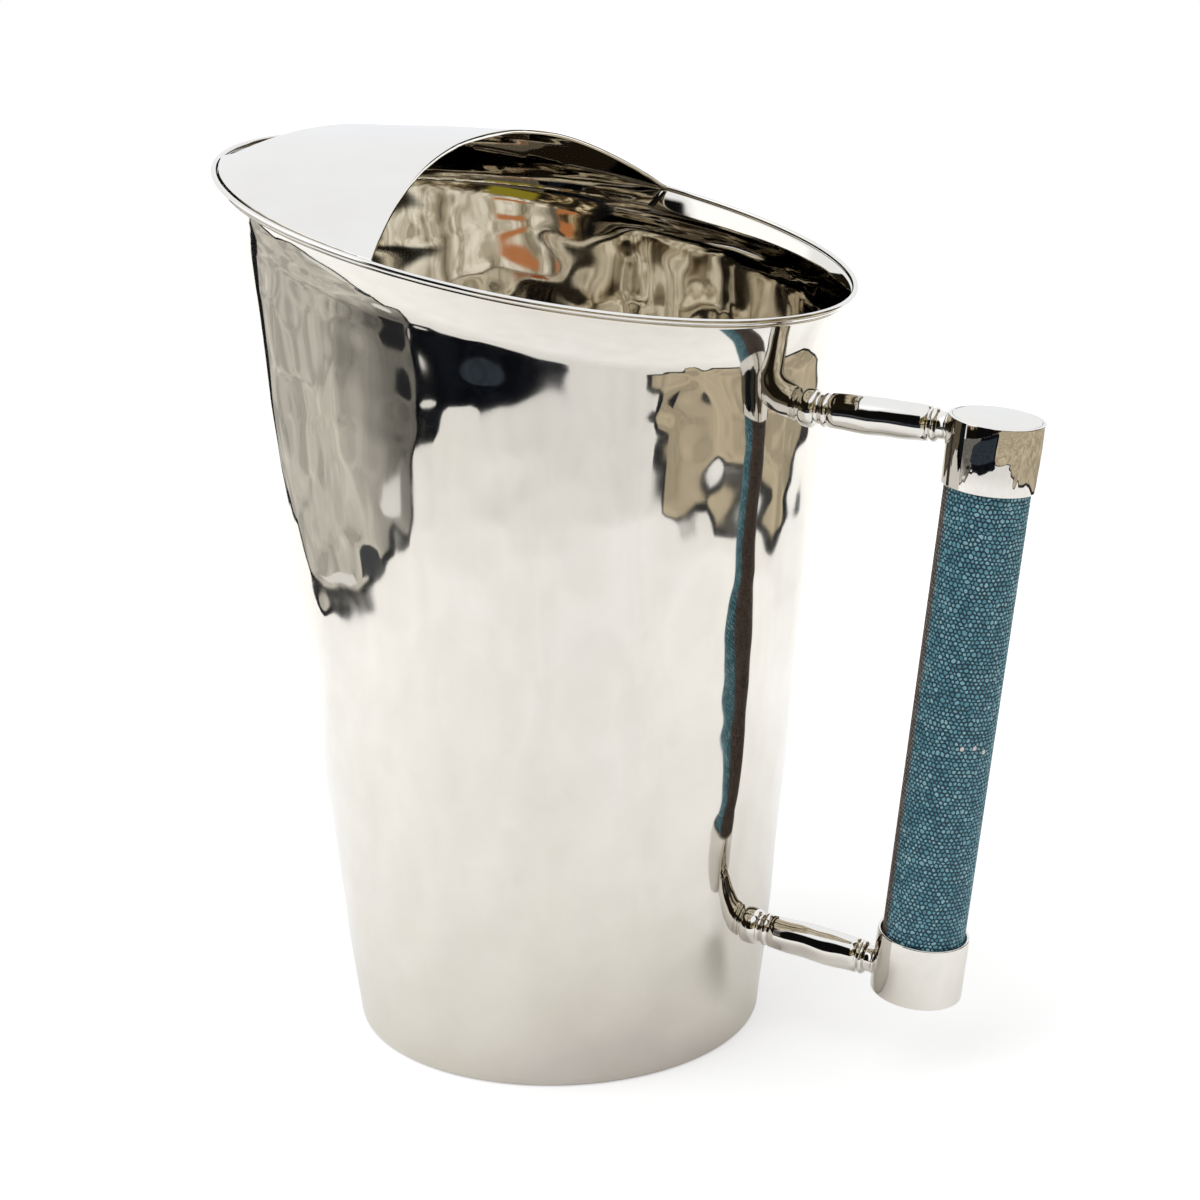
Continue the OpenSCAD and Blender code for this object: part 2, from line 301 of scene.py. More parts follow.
def wall_place(a, station):
    edge = lip_edge(a)
    flare_foot = edge[1] - FLARE_H
    inside = station >= FOOT_STATIONS + OUT_STATIONS + FLARE_STATIONS + 1
    if station < FOOT_STATIONS:
        turn = math.pi / 2 * station / FOOT_STATIONS
        r = BASE_R - FOOT_ROUND + FOOT_ROUND * math.sin(turn)
        return r, FOOT_ROUND * (1 - math.cos(turn))
    if inside:
        station -= FOOT_STATIONS + OUT_STATIONS + FLARE_STATIONS + 1
        if station <= FLARE_STATIONS:
            r, z = flare_at(edge, 1 - station / FLARE_STATIONS, WALL_T)
        else:
            share = (station - FLARE_STATIONS) / IN_STATIONS
            z = flare_foot * (1 - share * (0.45 + 0.55 * share))
            r = wall_r(z) - WALL_T / math.cos(math.atan(LEAN))
        dent = (DENT_IN * (BLOW_MEAN - blow_height(a, z)) + wave_height(a, z)) * fade(z, 6, 16)
        clear_of_guard = fade(r * math.cos(a), 2, 20)
        above = z - flare_foot
        return r + dent * max(fade(-above, -2, 8), clear_of_guard * fade(-above, -11, 3)), max(0, z)
    station -= FOOT_STATIONS
    if station >= OUT_STATIONS:
        r, z = flare_at(edge, (station - OUT_STATIONS) / FLARE_STATIONS, 0)
        swell = FLARE_DENT * (blow_height(a, z) - BLOW_MEAN) * fade(edge[1] - z, 1, 5)
        return r + swell, z
    share = station / OUT_STATIONS
    z = FOOT_ROUND + (flare_foot - FOOT_ROUND) * share
    blow = blow_height(a, z) - BLOW_MEAN
    dent = (DENT_OUT * blow + wave_height(a, z)) * fade(flare_foot - z, 0, 10)
    dent += FLARE_DENT * blow * fade(z - flare_foot, -10, 0)
    return wall_r(z) + dent * fade(z, 3, 14), z


def number_outline(bm, count):
    """A closed outline of numbered points, one unit out from the axis"""
    points = [bm.verts.new((1, 0, k)) for k in range(count)]
    for k in range(count):
        bm.edges.new((points[k], points[(k + 1) % count]))


def spin_round(bm, steps):
    bmesh.ops.spin(bm, geom=bm.verts[:] + bm.edges[:], cent=(0, 0, 0), axis=(0, 0, 1),
                   angle=2 * math.pi, steps=steps, use_merge=True)


def wrap(bm, placing):
    """Moves each numbered point to the place that its direction and number call for"""
    for vertex in bm.verts:
        a = math.atan2(vertex.co.y, vertex.co.x)
        r, z = placing(a, round(vertex.co.z))
        vertex.co = (r * math.cos(a), r * math.sin(a), z)
    bmesh.ops.recalc_face_normals(bm, faces=bm.faces)


bm = bmesh.new()
number_outline(bm, FOOT_STATIONS + OUT_STATIONS + FLARE_STATIONS + 1 + FLARE_STATIONS + IN_STATIONS + 1)
spin_round(bm, WALL_STEPS)
wrap(bm, wall_place)
wall = finish_piece(bm, "hammered_wall", hammered_metal, ["body_wall"])

# %% [markdown]
# ## The bead
# A wire with a flat on it is soldered on the end of the flared sheet. It stiffens the
# lip and catches a thin line of light. Spun like the wall, it follows the same lip.

# %% Bead
BEAD_R = 0.765
BEAD_SEAT = 0.7245
BEAD_STATIONS = 14
BEAD_OPEN = math.asin(0.5 / 0.8)


def bead_place(a, station):
    edge = lip_edge(a)
    lean = flare_lean(1)
    r, z = flare_at(edge, 1, WALL_T / 2)
    turn = (math.pi - BEAD_OPEN) * (1 - 2 * station / (BEAD_STATIONS - 1))
    return (r + BEAD_SEAT * math.sin(lean) + BEAD_R * math.sin(lean + turn),
            z + BEAD_SEAT * math.cos(lean) + BEAD_R * math.cos(lean + turn))


bm = bmesh.new()
number_outline(bm, BEAD_STATIONS)
spin_round(bm, WALL_STEPS)
wrap(bm, bead_place)
bead = finish_piece(bm, "lip_bead", polished_metal, ["rim_wire"])

# %% [markdown]
# ## The ice guard
# The guard is one sheet: a dome over the spout, a folded edge beside the bead, and a
# flange that lies inside the flare. A flat grid has just the right topology for it:
# one way runs from the front edge to the open arch, the other from flange to flange.
# Each point of the grid is moved to its place, and Solidify gives the sheet its
# thickness inwards, so the outside keeps its fit.

# %% Ice guard
GUARD_T = 0.9
ARCH_H = 22
RIDGE_RISE = 0.3
ARCH_LEAN = math.tan(math.radians(27.2))
ARCH_SET = 2.5
ARCH_POWER = 2.15
POUR_GAP = 6.7
NOSE_LEN = 10
FLANGE_DROP = 5.5
FLANGE_FRONT_DROP = 11.5
FLANGE_CUT = math.tan(math.radians(31))
GUARD_ALONG = 96
FLANGE_ROWS = 9
PLATE_ROWS = 74
GUARD_INSET = 1.1
GUARD_LIFT = 0.72
SEAT_GAP = 0.1
GUARD_WAVE = 0.14


def guard_corner(b):
    edge = lip_edge(math.pi - b)
    lean = flare_lean(1)
    r, z = flare_at(edge, 1, WALL_T / 2)
    return r + BEAD_SEAT * math.sin(lean) - GUARD_INSET, z + BEAD_SEAT * math.cos(lean) + GUARD_LIFT


NOSE_R = guard_corner(0)[0]
FRONT_X = POUR_GAP - NOSE_R
GUARD_FRONT = math.acos(1 - POUR_GAP / NOSE_R)
GUARD_BACK = math.acos(ARCH_SET / guard_corner(math.pi / 2)[0])


def plate_at(b, t):
    r, z = guard_corner(b)
    x = -r * math.cos(b)
    u = min(1, (x - FRONT_X) / NOSE_LEN)
    ridge = MOUTH_H + ARCH_H - RIDGE_RISE * x / MOUTH_R
    rise = (ridge - z) * math.sqrt(max(0, 1 - (1 - u) ** 2)) * (1 - abs(t) ** ARCH_POWER)
    lean = ARCH_LEAN * (x - FRONT_X) / (-ARCH_SET - FRONT_X)
    return Vector((x - lean * rise, t * r * math.sin(b), z + rise))


def flange_at(b, side, share):
    back_share = (b - GUARD_FRONT) / (GUARD_BACK - GUARD_FRONT)
    drop = (1 - share) * (FLANGE_FRONT_DROP + (FLANGE_DROP - FLANGE_FRONT_DROP) * back_share)
    at = b - back_share * drop * FLANGE_CUT / MOUTH_R
    r, z = flare_at(lip_edge(math.pi - at), 1 - drop / FLARE_LEN, WALL_T + SEAT_GAP)
    return Vector((-r * math.cos(at), side * r * math.sin(at), z))


def guard_at(along, row):
    b = GUARD_FRONT + (GUARD_BACK - GUARD_FRONT) * (1 - math.cos(math.pi / 2 * along)) ** 0.9
    side = -1 if row < 0 else 1
    row = abs(row)
    if row > PLATE_ROWS / 2:
        return flange_at(b, side, 1 - (row - PLATE_ROWS / 2 - 1) / (FLANGE_ROWS - 1))
    share = row / (PLATE_ROWS / 2)
    spot = plate_at(b, side * math.sin(math.pi / 2 * share))
    spot.z -= GUARD_WAVE * (0.5 + noise.noise(spot / 13)) * fade(1 - share, 0, 0.15) * fade(along, 0, 0.2)
    return spot


bm = bmesh.new()
rows = PLATE_ROWS + 2 * FLANGE_ROWS
bmesh.ops.create_grid(bm, x_segments=GUARD_ALONG, y_segments=rows, size=0.5)
for vertex in bm.verts:
    vertex.co = guard_at(vertex.co.x + 0.5, round(vertex.co.y * rows))
bmesh.ops.recalc_face_normals(bm, faces=bm.faces)
crown = max(bm.faces, key=lambda face: face.calc_center_median().z)
if crown.normal.z < 0:
    bmesh.ops.reverse_faces(bm, faces=bm.faces)
guard = finish_piece(bm, "domed_guard", polished_metal, ["ice_guard"])
sheet = guard.modifiers.new("sheet", "SOLIDIFY")
sheet.thickness = GUARD_T * MM
sheet.offset = -1
sheet.use_even_offset = True
soft_edge = guard.modifiers.new("soft_edge", "BEVEL")
soft_edge.width = 0.22 * MM
soft_edge.segments = 2
soft_edge.limit_method = "ANGLE"
soft_edge.angle_limit = math.radians(55)
print("guard's front edge at x", round(FRONT_X, 2))

# %% [markdown]
# ## The handle's own frame
# The arms, ferrules, caps and grip are all turned on a lathe, so each is a spun
# outline. They share one frame: its Z axis runs up the middle of the grip and starts
# at the lower end of the handle.

# %% Frame of the handle
GRIP_REACH = 44.4
HANDLE_LOW = 25.7
HANDLE_DROP = 16.4
GRIP_LEAN = math.radians(0.35)
WALL_ANGLE = math.radians(6.05)
HANDLE_LEN = mouth_z(MOUTH_R) / math.cos(WALL_ANGLE) - HANDLE_DROP - HANDLE_LOW
GRIP_FRAME = (Matrix.Translation((BASE_R, 0, 0)) @ Matrix.Rotation(WALL_ANGLE, 4, "Y")
              @ Matrix.Translation((GRIP_REACH, 0, HANDLE_LOW + HANDLE_LEN / 2))
              @ Matrix.Rotation(GRIP_LEAN, 4, "Y") @ Matrix.Translation((0, 0, -HANDLE_LEN / 2)))
AT_TOP = Matrix.Translation((0, 0, HANDLE_LEN)) @ Matrix.Rotation(math.pi, 4, "X")
TURN_STEPS = 128


def spin_outline(bm, points, closed, steps=TURN_STEPS):
    """Spins an outline of radius and height round Z, and closes its seam and poles"""
    verts = [bm.verts.new((r, 0, z)) for r, z in points]
    for first, second in zip(verts, verts[1:] + (verts[:1] if closed else [])):
        bm.edges.new((first, second))
    spin_round(bm, steps)
    bmesh.ops.remove_doubles(bm, verts=bm.verts, dist=0.0005)
    bmesh.ops.recalc_face_normals(bm, faces=bm.faces)


print("handle's length", round(HANDLE_LEN, 2), "mm")

# %% [markdown]
# ## Ferrules and caps
# A ferrule is a short tube, and a cap is a disc let into its closed end. Their sharp
# outlines are bevelled, because polishing always takes an edge down, and the thin
# round edge is what shows the seam between the two.

# %% Ferrules and caps
FERRULE_IN = 10.25
FERRULE_OUT = 11.15
FERRULE_H = 15.8
EDGE = 0.3
CAP_R = 10.15
CAP_T = 1.2


def bevel_rings(bm, width, test):
    rings = [edge for edge in bm.edges
             if edge.calc_face_angle(0) > math.radians(50) and test(edge.verts[0].co)]
    bmesh.ops.bevel(bm, geom=rings, offset=width, offset_type="OFFSET", segments=3, profile=0.5,
                    affect="EDGES", material=-1, clamp_overlap=True)


for name, place in (("upper", GRIP_FRAME @ AT_TOP), ("lower", GRIP_FRAME)):
    bm = bmesh.new()
    spin_outline(bm, [(FERRULE_IN, 0), (FERRULE_OUT, 0), (FERRULE_OUT, FERRULE_H),
                      (FERRULE_IN, FERRULE_H)], True)
    bevel_rings(bm, EDGE, lambda co: math.hypot(co.x, co.y) > FERRULE_IN + EDGE)
    bmesh.ops.transform(bm, matrix=place, verts=bm.verts)
    finish_piece(bm, name + "_tube", polished_metal, [name + "_ferrule"])
    bm = bmesh.new()
    spin_outline(bm, [(0, 0), (CAP_R, 0), (CAP_R, CAP_T), (0, CAP_T)], False)
    bevel_rings(bm, 0.05, lambda co: co.z < CAP_T / 2)
    bmesh.ops.transform(bm, matrix=place, verts=bm.verts)
    finish_piece(bm, name + "_disc", polished_metal, [name + "_cap"])

# %% [markdown]
# ## The arms
# Each arm is turned from rod: a foot on the wall, a groove, a ring, a slightly bellied
# spindle, a second ring and a neck. The real ones were touched up with the hammer, so
# the spun form is pressed in by a smooth noise of a tenth of a millimetre or so.

# %% Arms
FOOT_R = 4.6
GROOVE_R = 3.6
NECK_R = 3.3
RING_R = 4.3
SPINDLE_R = 4.7
FOOT_W = 2.1
GROOVE_W = 1
RING_W = 2.3
NECK_W = 1.8
SINK = 0.6
CURVE = 14


def bulge(s, w, r, peak):
    return [(r + (peak - r) * math.sin(math.pi * i / CURVE), s + w * i / CURVE)
            for i in range(CURVE + 1)]


def quarter(start_r, end_r, s, w, rising):
    """A hollow that leads from one radius to another over a width"""
    points = []
    for i in range(CURVE + 1):
        turn = math.pi / 2 * i / CURVE
        share = 1 - math.cos(turn) if rising else math.cos(turn)
        points.append((start_r + (end_r - start_r) * share, s + w * math.sin(turn)))
    return points


def arm_outline(length):
    ring_s = FOOT_W + GROOVE_W
    spindle_s = ring_s + RING_W
    far_ring_s = length - NECK_W - RING_W
    return ([(0, -SINK), (FOOT_R, -SINK)]
            + quarter(GROOVE_R, FOOT_R, 0, FOOT_W, False)
            + bulge(ring_s, RING_W, GROOVE_R, RING_R)
            + bulge(spindle_s + 0.1, far_ring_s - spindle_s - 0.2, RING_R, SPINDLE_R)
            + bulge(far_ring_s, RING_W, NECK_R, RING_R)
            + quarter(NECK_R, NECK_R + EDGE, length - NECK_W, NECK_W, True)[1:]
            + [(NECK_R + EDGE, length + SINK), (0, length + SINK)])


for name, height, rise in (("upper_arm", HANDLE_LEN - 4.2, math.radians(3.5)),
                           ("lower_arm", 4.6, math.radians(0.8))):
    reach = GRIP_REACH - FERRULE_OUT + (height - HANDLE_LEN / 2) * math.sin(GRIP_LEAN)
    length = reach / math.cos(rise - GRIP_LEAN)
    bm = bmesh.new()
    spin_outline(bm, arm_outline(length), False, 64)
    for vertex in bm.verts:
        press = 0.3 * (0.5 + noise.noise(vertex.co / 6 + Vector((height, 0, 0))))
        r = math.hypot(vertex.co.x, vertex.co.y)
        if r > 1 and FOOT_W < vertex.co.z < length - NECK_W:
            vertex.co.x *= 1 - max(0, press) / r
            vertex.co.y *= 1 - max(0, press) / r
    place = (GRIP_FRAME @ Matrix.Translation((-FERRULE_OUT, 0, height))
             @ Matrix.Rotation(math.pi / 2 - rise, 4, "Y") @ Matrix.Translation((0, 0, -length)))
    bmesh.ops.transform(bm, matrix=place, verts=bm.verts)
    finish_piece(bm, "turned_" + name, polished_metal, [name])

# %% [markdown]
# ## Shagreen
# Shagreen is the skin of a ray, set with small hard pebbles that are ground flat and
# polished, while the dye stays dark between them. The pebbles are real geometry: a
# grid is wrapped round the dowel, every other upright edge is dissolved so that the
# squares become staggered six-sided cells, the cells are jittered, and each one is
# inset twice and raised. Six sides cost few faces, so thousands of cells are cheap.

# %% Shagreen cells
SLEEVE_START = 9.9
SLEEVE_R = 10
SLEEVE_IN = 8.9
GROUND_R = 9.74
CELLS_AROUND = 56
CELL_ROWS = 124
CELL_W = 2 * math.pi * SLEEVE_R / CELLS_AROUND
SLEEVE_LEN = HANDLE_LEN - 2 * SLEEVE_START
ROW_H = SLEEVE_LEN / CELL_ROWS
skin_random = random.Random(11)

bm = bmesh.new()
columns = 2 * CELLS_AROUND
bmesh.ops.create_grid(bm, x_segments=columns, y_segments=CELL_ROWS, size=0.5)
column_of = bm.verts.layers.int.new("column")
row_of = bm.verts.layers.int.new("row")
for vertex in bm.verts:
    column = round((vertex.co.x + 0.5) * columns)
    row = round((vertex.co.y + 0.5) * CELL_ROWS)
    vertex[column_of] = column
    vertex[row_of] = row
    zigzag = 0.144 * CELL_W * (1 if (column - row) % 2 == 0 else -1)
    if row in (0, CELL_ROWS):
        zigzag = 0
    angle = column * CELL_W / 2 / SLEEVE_R
    vertex.co = (GROUND_R * math.cos(angle), GROUND_R * math.sin(angle),
                 SLEEVE_START + row * ROW_H + zigzag)
bmesh.ops.remove_doubles(bm, verts=bm.verts, dist=0.001)
spare = [edge for edge in bm.edges
         if edge.verts[0][row_of] != edge.verts[1][row_of]
         and (edge.verts[0][column_of] - min(v[row_of] for v in edge.verts)) % 2]
bmesh.ops.dissolve_edges(bm, edges=spare, use_verts=False)
print("shagreen cells:", len(bm.faces))

# %% [markdown]
# No two pebbles of a real skin are alike. Each cell's middle is pushed about and given
# a size of its own, and each corner then settles between the middles round it, further
# from the large ones. A colour layer records how high each point of a pebble stands,
# how light its dye is, and how near it lies to the side that faces the wall. That side
# is dark brown: partly a brown strip of skin, partly painted shade. Three larger pale
# pebbles lie in a row.

# %% Shagreen pebbles
PEARLS = [(math.radians(-57), 67.8), (math.radians(-41), 67.6), (math.radians(-21), 67.1)]


def onto_round(vertex, radius):
    r = math.hypot(vertex.co.x, vertex.co.y)
    vertex.co.x *= radius / r
    vertex.co.y *= radius / r


def wall_side_brown_and_shade(vertex):
    """1 on the side that faces the wall, where the skin is brown and darkened with painted shade, 0 on the
    outer side
    """
    angle = math.atan2(vertex.co.y, vertex.co.x)
    return fade(math.cos(angle - math.radians(172)), 0.53, 0.7)


middles = {}
for cell in bm.faces:
    middle = cell.calc_center_median()
    push = Vector([skin_random.uniform(-0.36, 0.36) * CELL_W for _ in range(3)])
    weight = skin_random.uniform(0.6, 1.6)
    middles[cell] = (middle + push, weight)
pearls = []
for angle, height in PEARLS:
    spot = Vector((GROUND_R * math.cos(angle), GROUND_R * math.sin(angle), height))
    pearl = min(bm.faces, key=lambda cell: (cell.calc_center_median() - spot).length)
    middles[pearl] = (spot, 0.35)
    pearls.append(pearl)
for vertex in bm.verts:
    if vertex[row_of] in (0, CELL_ROWS):
        continue
    around = [middles[cell] for cell in vertex.link_faces]
    total = sum(weight for _, weight in around)
    vertex.co = sum((middle * weight for middle, weight in around), Vector()) / total
    onto_round(vertex, GROUND_R)
bmesh.ops.recalc_face_normals(bm, faces=bm.faces)
if bm.faces[0].normal.dot(Vector((*bm.faces[0].calc_center_median().xy, 0))) < 0:
    bmesh.ops.reverse_faces(bm, faces=bm.faces)

dye = bm.verts.layers.float_color.new("dye")
cells = bm.faces[:]
ends = [edge for edge in bm.edges if edge.is_boundary]
tones = [2 if cell in pearls else skin_random.random() for cell in cells]
spans = [0.95 if cell in pearls else skin_random.uniform(0.58, 0.84) for cell in cells]
for vertex in bm.verts:
    vertex[dye] = (0, 0.5, wall_side_brown_and_shade(vertex), 1)
for taper, radius, height in ((1, 9.82, 0.1), (0.8, 9.99, 1)):
    bmesh.ops.inset_individual(bm, faces=cells, thickness=0, depth=0)
    for cell, tone, span in zip(cells, tones, spans):
        middle = cell.calc_center_median()
        size = span if taper == 1 else taper
        for vertex in cell.verts:
            vertex.co = middle + (vertex.co - middle) * size
            vertex[dye] = (height, tone, wall_side_brown_and_shade(vertex), 1)
            onto_round(vertex, radius)
print("pebbled faces:", len(bm.faces))

# %% [markdown]
# The two ends of the skin turn in to the dowel, and a plain inner face joins them.

# %% Shagreen sleeve
inner_loops = []
for end in (0, 1):
    z_end = SLEEVE_START + end * SLEEVE_LEN
    loop = [edge for edge in ends if edge.is_valid and abs(edge.verts[0].co.z - z_end) < 0.01]
    turned = bmesh.ops.extrude_edge_only(bm, edges=loop)["geom"]
    for vertex in (item for item in turned if isinstance(item, bmesh.types.BMVert)):
        onto_round(vertex, SLEEVE_IN)
    inner_loops += [item for item in turned if isinstance(item, bmesh.types.BMEdge)]
bmesh.ops.bridge_loops(bm, edges=inner_loops)
bmesh.ops.recalc_face_normals(bm, faces=bm.faces)
bmesh.ops.transform(bm, matrix=GRIP_FRAME, verts=bm.verts)

shagreen, tree, shader = new_material("dyed_shagreen_with_painted_shade")
pebble = add_node(tree, "ShaderNodeAttribute", attribute_name="dye")
parts = add_node(tree, "ShaderNodeSeparateColor", {"Color": pebble.outputs["Color"]})
place = add_node(tree, "ShaderNodeTexCoord").outputs["Object"]
cloud = add_node(tree, "ShaderNodeTexNoise", {"Vector": place, "Scale": 140, "Detail": 3})
mixed = add_node(tree, "ShaderNodeMath", {0: parts.outputs["Green"], 1: cloud.outputs["Fac"]},
                 operation="ADD")
half = add_node(tree, "ShaderNodeMath", {0: mixed.outputs["Value"], 1: 0.5}, operation="MULTIPLY")
tops = ramp(tree, half.outputs["Value"], [(0.2, (0.06, 0.21, 0.28)), (0.5, (0.13, 0.35, 0.43)),
                                          (0.8, (0.3, 0.54, 0.61)), (0.95, (0.7, 0.68, 0.68))])
skin = add_node(tree, "ShaderNodeMix", {"Factor": parts.outputs["Red"]}, data_type="RGBA")
tree.links.new(tops, skin.inputs[7])
skin.inputs[6].default_value = (0.003, 0.035, 0.058, 1)
dye_and_painted_shade = add_node(tree, "ShaderNodeMix", {"Factor": parts.outputs["Blue"]}, data_type="RGBA")
tree.links.new(skin.outputs[2], dye_and_painted_shade.inputs[6])
# The wall side is dark brown: partly a brown strip of skin, partly painted shade of the side that faces the
# wall.
brown_and_painted_shade = ramp(tree, half.outputs["Value"], [(0.2, (0.05, 0.032, 0.024)), (0.8, (0.13, 0.09, 0.075))])
tree.links.new(brown_and_painted_shade, dye_and_painted_shade.inputs[7])
tree.links.new(dye_and_painted_shade.outputs[2], shader.inputs["Base Color"])
shader.inputs["Roughness"].default_value = 0.34
shader.inputs["Specular IOR Level"].default_value = 0.5
sleeve = finish_piece(bm, "shagreen_grip", shagreen, ["shagreen_sleeve"])

# %% [markdown]
# ## The pieces that stay
# The flat bottom and the dowel inside the grip are right as the construction model has
# them, so they only get their finishes: a spun, satin underside for the plate, and a
# plain close grain for the dowel.

# %% Base plate and dowel
plate_metal, tree, shader = new_material("spun_metal")
place = add_node(tree, "ShaderNodeTexCoord").outputs["Object"]
rings = add_node(tree, "ShaderNodeTexWave", {"Vector": place, "Scale": 700, "Distortion": 1.5,
                                             "Detail": 2, "Detail Scale": 3},
                 wave_type="RINGS", rings_direction="Z")
bump = add_node(tree, "ShaderNodeBump", {"Strength": 0.3, "Distance": 0.00002,
                                         "Height": rings.outputs["Fac"]})
tree.links.new(bump.outputs["Normal"], shader.inputs["Normal"])
tree.links.new(ramp(tree, rings.outputs["Fac"], [(0, (0.76, 0.73, 0.67)), (1, (0.82, 0.79, 0.74))]),
               shader.inputs["Base Color"])
shader.inputs["Metallic"].default_value = 1
shader.inputs["Roughness"].default_value = 0.2

dowel_wood, tree, shader = new_material("close_grained_wood")
place = add_node(tree, "ShaderNodeTexCoord").outputs["Object"]
stretch = add_node(tree, "ShaderNodeMapping", {"Vector": place, "Scale": (600, 600, 25)})
grain = add_node(tree, "ShaderNodeTexNoise", {"Vector": stretch.outputs["Vector"], "Scale": 1,
                                              "Detail": 5})
tree.links.new(ramp(tree, grain.outputs["Fac"], [(0.3, (0.17, 0.09, 0.045)), (0.7, (0.36, 0.21, 0.11))]),
               shader.inputs["Base Color"])
shader.inputs["Roughness"].default_value = 0.6

for node, material in (("base_plate", plate_metal), ("grip_core", dowel_wood)):
    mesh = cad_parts[node].data
    mesh.materials.clear()
    mesh.materials.append(material)
print("kept nodes finished")

# %% [markdown]
# ## The studio
# A mirror shows the studio more than itself. The floor is a plain pale sheet to the
# camera; to reflections its glow carries painted shade: a falloff towards the front,
# darkness round the pitcher and a shadow under the handle. Around it lie a few glowing
# cards that only reflections see: a grey one on the left, a dark one in front and a
# beige one on the right, as a photographer would set them.

# %% Floor and cards
def stage_object(name, bm, material):
    bmesh.ops.scale(bm, vec=(MM, MM, MM), verts=bm.verts)
    mesh = bpy.data.meshes.new(name)
    bm.to_mesh(mesh)
    bm.free()
    mesh.materials.append(material)
    thing = bpy.data.objects.new(name, mesh)
    bpy.context.scene.collection.objects.link(thing)
    return thing


def light_path(tree):
    return add_node(tree, "ShaderNodeLightPath").outputs


def either(tree, *sockets):
    total = sockets[0]
    for socket in sockets[1:]:
        total = add_node(tree, "ShaderNodeMath", {0: total, 1: socket}, operation="MAXIMUM").outputs[0]
    return total


def beyond_depth(tree, depth):
    """1 for a reflection seen in another reflection"""
    return add_node(tree, "ShaderNodeMath", {0: light_path(tree)["Ray Depth"], 1: depth},
                    operation="GREATER_THAN").outputs[0]


FLOOR_SIZE = 4000
floor_material = bpy.data.materials.new("pale_floor_painted_shade")
floor_material.use_nodes = True
tree = floor_material.node_tree
tree.nodes.clear()
paths = light_path(tree)
matt = add_node(tree, "ShaderNodeBsdfDiffuse", {"Color": (0.7, 0.7, 0.7, 1)})
place = add_node(tree, "ShaderNodeTexCoord").outputs["Object"]
# To reflections the floor's glow is painted: it falls away towards the front, a painted falloff of the
# light.
across = add_node(tree, "ShaderNodeVectorMath", {0: place, 1: (-0.6, 0.8, 0)},
                  operation="DOT_PRODUCT").outputs["Value"]
painted_falloff = add_node(tree, "ShaderNodeMapRange", {"Value": across, "From Min": -0.45, "From Max": 0.3})
mirrored = ramp(tree, painted_falloff.outputs[0], [(0, (0.0, 0.0, 0.0)), (0.55, (0.21, 0.21, 0.2)),
                                         (0.8, (0.23, 0.24, 0.25)), (0.92, (0.4, 0.41, 0.42))])
cloud = add_node(tree, "ShaderNodeTexNoise", {"Vector": place, "Scale": 22, "Detail": 3}).outputs["Fac"]
# A painted shadow of the handle, on the floor beneath it.
drop = add_node(tree, "ShaderNodeVectorMath", {0: place, 1: (0.089, 0.004, 0)},
                operation="DISTANCE").outputs["Value"]
painted_handle_shadow = add_node(tree, "ShaderNodeMapRange", {"Value": drop, "From Min": 0.004, "From Max": 0.026,
                                            "To Min": -0.25, "To Max": 0.0},
               interpolation_type="SMOOTHSTEP").outputs[0]
cloud_and_handle_shadow = add_node(tree, "ShaderNodeMath", {0: cloud, 1: 0.16, 2: painted_handle_shadow}, operation="MULTIPLY_ADD").outputs[0]
# Painted shade round the pitcher: darkest at its foot, brightest a little way off, and falling off again far
# away.
distance = add_node(tree, "ShaderNodeVectorMath", {0: place, 1: (0.03, -0.03, 0)},
                    operation="DISTANCE").outputs["Value"]
distance = add_node(tree, "ShaderNodeMath", {0: distance, 1: 0.5}, operation="DIVIDE").outputs[0]
painted_shade_round_pitcher = ramp(tree, distance, [(0.05, (0.02, 0.0, 0.0)), (0.09, (0.14, 0.13, 0.11)),
                               (0.13, (0.2, 0.195, 0.18)), (0.22, (0.26, 0.255, 0.25)),
                               (0.4, (0.31, 0.31, 0.31)), (0.6, (0.35, 0.35, 0.35)),
                               (0.75, (0.24, 0.235, 0.22))])
for part in (cloud_and_handle_shadow, painted_shade_round_pitcher, (-0.23, -0.23, -0.23)):
    mirrored = add_node(tree, "ShaderNodeVectorMath", {0: mirrored, 1: part}, operation="ADD").outputs[0]
mirror_glow = add_node(tree, "ShaderNodeMix", {"Factor": paths["Is Camera Ray"]}, data_type="RGBA")
tree.links.new(mirrored, mirror_glow.inputs[6])
mirror_glow.inputs[7].default_value = (0.5, 0.5, 0.5, 1)
seen = either(tree, paths["Is Camera Ray"], paths["Is Glossy Ray"], paths["Is Transmission Ray"])
# A reflection seen in another reflection gets less of the glow: painted shade.
floor_depth_painted_shade = add_node(tree, "ShaderNodeMapRange", {"Value": beyond_depth(tree, 1.5), "To Min": 1.0,
                                             "To Max": 0.4}).outputs[0]
seen = add_node(tree, "ShaderNodeMath", {0: seen, 1: floor_depth_painted_shade}, operation="MULTIPLY").outputs[0]
glow = add_node(tree, "ShaderNodeEmission", {"Color": mirror_glow.outputs[2], "Strength": seen})
both = add_node(tree, "ShaderNodeAddShader", {0: matt.outputs[0], 1: glow.outputs[0]})
add_node(tree, "ShaderNodeOutputMaterial", {"Surface": both.outputs[0]})
bm = bmesh.new()
bmesh.ops.create_grid(bm, x_segments=1, y_segments=1, size=FLOOR_SIZE,
                      matrix=Matrix.Translation((0, 0, -0.2)))
floor = stage_object("floor", bm, floor_material)


def ragged(outline, amount):
    """The outline in short steps, each pushed about a little like the hem of a cloth"""
    points = []
    for (x, y), (next_x, next_y) in zip(outline, outline[1:] + outline[:1]):
        count = max(1, round(math.hypot(next_x - x, next_y - y) / 25))
        for i in range(count):
            spot = Vector((x + (next_x - x) * i / count, y + (next_y - y) * i / count, 0))
            push = noise.noise_vector(spot / 45) * amount
            points.append((spot.x + push.x, spot.y + push.y))
    return points


